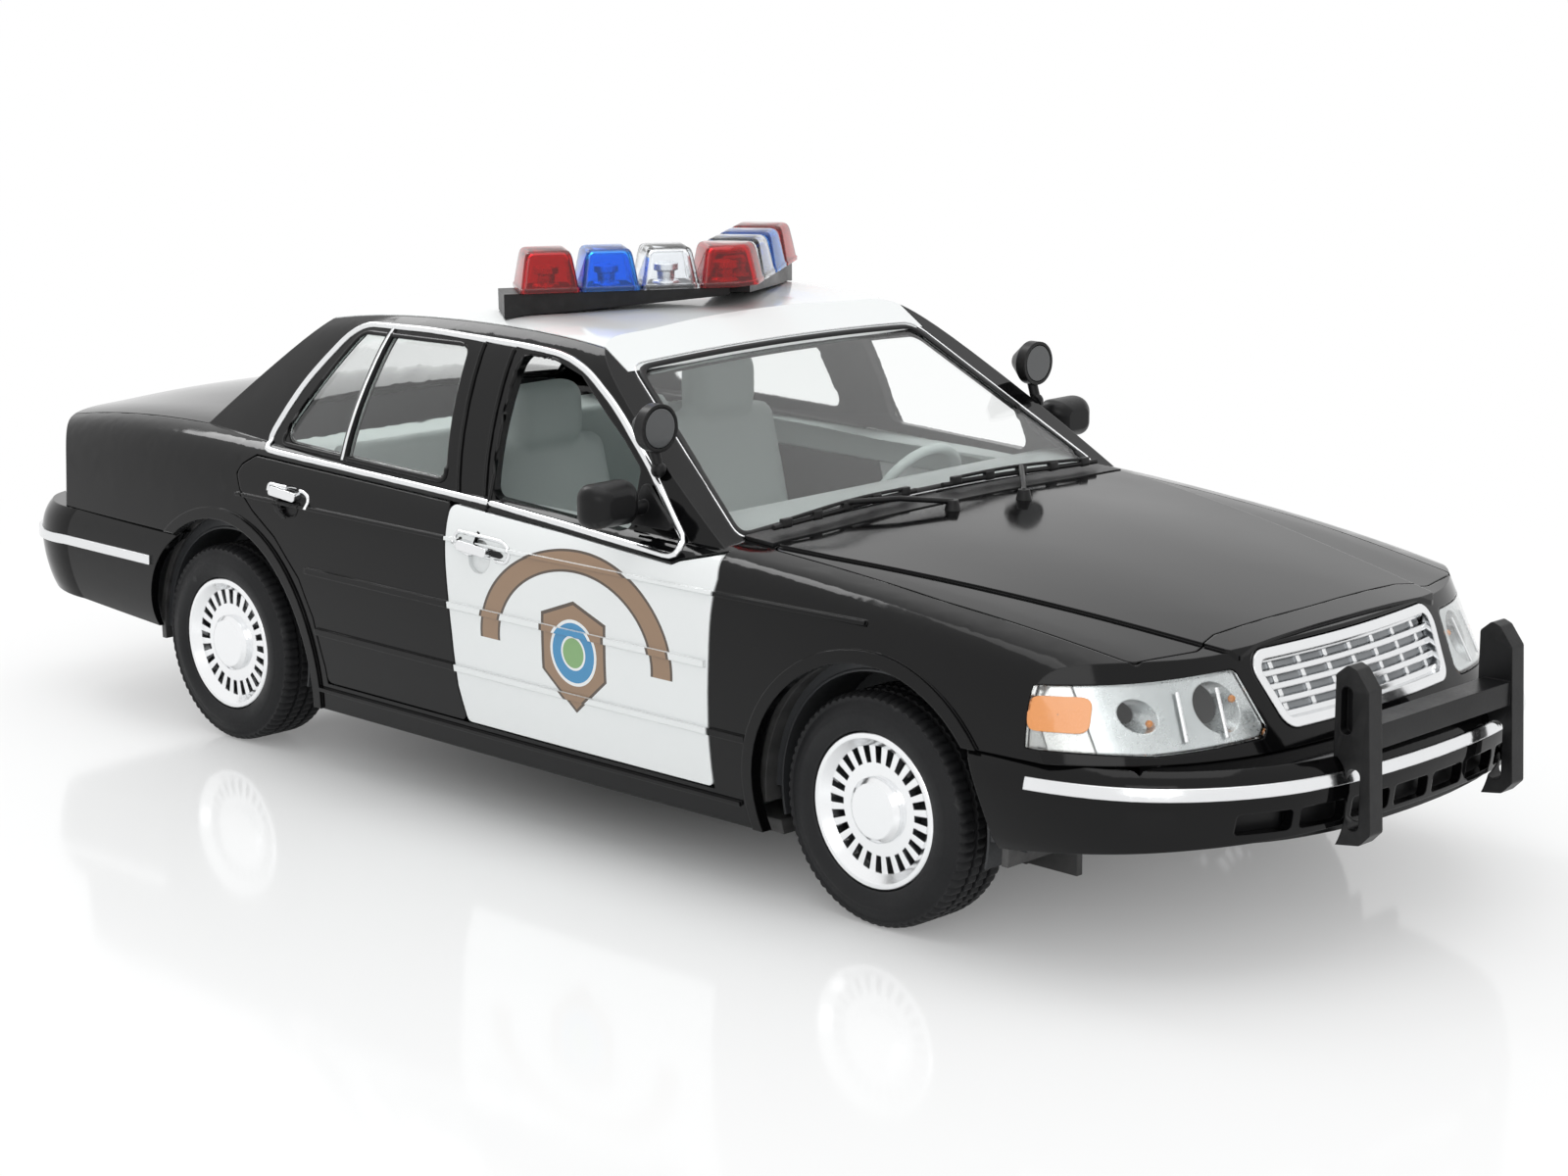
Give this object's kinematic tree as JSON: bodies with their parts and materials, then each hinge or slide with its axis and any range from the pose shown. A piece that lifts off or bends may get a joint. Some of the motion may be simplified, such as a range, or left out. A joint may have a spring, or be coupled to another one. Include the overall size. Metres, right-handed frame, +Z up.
{
  "type": "scale model of a police patrol car",
  "caption": "Scale model patrol sedan in black and white with a swept-back light bar, push bumper, opening hood and rolling wheels.",
  "frame": {"origin": "middle of the overall length and width, on the ground under the tyres", "axes": "+X forwards, +Y to the car's left, +Z up"},
  "size_m": [0.2172, 0.0884, 0.0676],
  "materials": {
    "black_paint": "gloss black moulded plastic",
    "white_paint": "gloss white paint",
    "bright_trim": "bright silver paint and plate",
    "clear_glass": "clear moulded panes",
    "amber_lens": "amber lens",
    "red_lens": "red lens",
    "clear_pod": "clear lamp pod",
    "blue_pod": "blue lamp pod",
    "red_pod": "red lamp pod",
    "black_plastic": "satin black plastic",
    "lamp_grey": "grey lamp glass",
    "chassis_grey": "dark grey moulded plastic",
    "cabin_grey": "mid grey moulded plastic",
    "cabin_dark": "dark grey moulded plastic",
    "engine_grey": "grey painted plastic",
    "tyre_rubber": "black vinyl",
    "wheel_silver": "bright plated plastic"
  },
  "bodies": {
    "root": {"body_shell": "black_paint", "bumper_strips": "bright_trim", "cabin_tub": "cabin_grey", "chassis": "chassis_grey", "cowl_panel": "black_plastic", "dashboard": "cabin_grey", "door_handles": "bright_trim", "door_mirror_left": "black_plastic", "door_mirror_right": "black_plastic", "engine": "engine_grey", "exhaust": "chassis_grey", "front_axle": "chassis_grey", "front_bumper": "black_paint", "front_door_left": "white_paint", "front_door_right": "white_paint", "front_seat_left": "cabin_grey", "front_seat_right": "cabin_grey", "grille": "bright_trim", "headlamp_bowls": "bright_trim", "headlamp_lenses": "clear_glass", "lightbar_base": "black_plastic", "lightbar_pods_blue": "blue_pod", "lightbar_pods_clear": "clear_pod", "lightbar_pods_red": "red_pod", "mirror_glasses": "bright_trim", "parcel_shelf": "cabin_grey", "push_bumper": "black_plastic", "radiator": "black_plastic", "rear_axle": "chassis_grey", "rear_bumper": "black_paint", "rear_door_left": "black_paint", "rear_door_right": "black_paint", "rear_plate": "white_paint", "rear_seat": "cabin_grey", "rear_window": "clear_glass", "roof_panel": "white_paint", "side_glass": "clear_glass", "spotlight_left": "black_plastic", "spotlight_lenses": "lamp_grey", "spotlight_right": "black_plastic", "steering_wheel": "cabin_dark", "tail_lamps": "red_lens", "trunk_lid": "black_paint", "turn_lamps": "amber_lens", "window_trim": "bright_trim", "windshield": "clear_glass", "wipers": "black_plastic"},
    "hood": {"hood": "black_paint"},
    "wheel_front_right": {"tyre_front_right": "tyre_rubber", "wheel_front_right": "wheel_silver"},
    "wheel_front_left": {"tyre_front_left": "tyre_rubber", "wheel_front_left": "wheel_silver"},
    "wheel_rear_right": {"tyre_rear_right": "tyre_rubber", "wheel_rear_right": "wheel_silver"},
    "wheel_rear_left": {"tyre_rear_left": "tyre_rubber", "wheel_rear_left": "wheel_silver"}
  },
  "joints": [
    {"name": "hood_hinge", "type": "hinge", "parent": "root", "child": "hood", "pos_m": [0.0389, 0, 0.0397], "axis": [0, -1, 0], "range_deg": [0, 55]},
    {"name": "wheel_front_right_spin", "type": "hinge", "parent": "root", "child": "wheel_front_right", "pos_m": [0.05895, 0, 0.0132], "axis": [0, 1, 0], "continuous": true},
    {"name": "wheel_front_left_spin", "type": "hinge", "parent": "root", "child": "wheel_front_left", "pos_m": [0.05895, 0, 0.0132], "axis": [0, 1, 0], "continuous": true},
    {"name": "wheel_rear_right_spin", "type": "hinge", "parent": "root", "child": "wheel_rear_right", "pos_m": [-0.05755, 0, 0.0132], "axis": [0, 1, 0], "continuous": true},
    {"name": "wheel_rear_left_spin", "type": "hinge", "parent": "root", "child": "wheel_rear_left", "pos_m": [-0.05755, 0, 0.0132], "axis": [0, 1, 0], "continuous": true}
  ]
}
